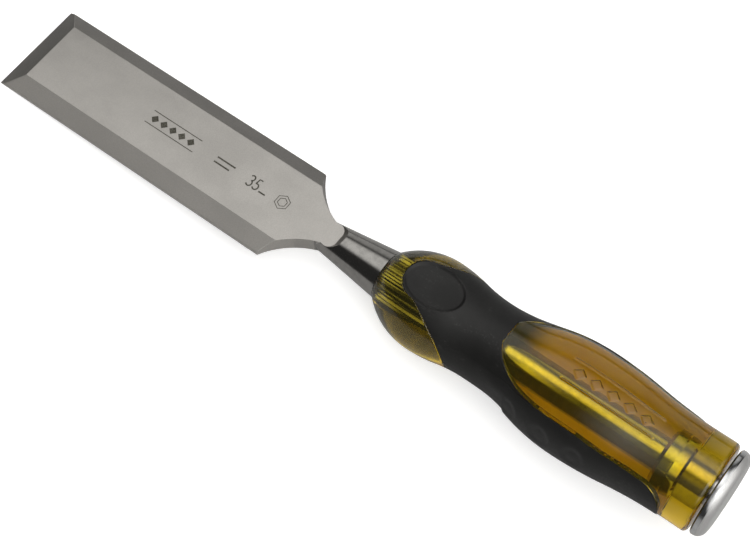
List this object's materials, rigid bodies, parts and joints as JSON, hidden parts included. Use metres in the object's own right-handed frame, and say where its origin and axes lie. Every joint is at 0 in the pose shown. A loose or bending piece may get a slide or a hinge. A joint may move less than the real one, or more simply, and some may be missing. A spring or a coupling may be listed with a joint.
{
  "type": "bench chisel",
  "caption": "Wide bevel-edge bench chisel with a flat back, round neck, through tang, clear amber handle with a black rubber grip, and a steel strike cap.",
  "frame": {"origin": "middle of the cutting edge, on the plane of the flat back", "axes": "+X along the tool from the cutting edge to the strike cap, +Z away from the flat back (the bevels face up), +Y completes a right-handed frame. On a bench the tool rests on its cutting edge and the belly of its handle, 4.2 degrees from this pose."},
  "size_m": [0.2693, 0.0352, 0.0352],
  "materials": {
    "blade_steel": "ground and fine-brushed, polished neck",
    "amber_plastic": "clear tinted, glossy",
    "grip_rubber": "soft matt",
    "collar_steel": "turned",
    "cap_steel": "polished"
  },
  "bodies": {
    "root": {"blade_and_tang": "blade_steel", "handle_core": "amber_plastic", "grip_sleeve": "grip_rubber", "tail_collar": "collar_steel", "strike_cap": "cap_steel"}
  },
  "joints": []
}
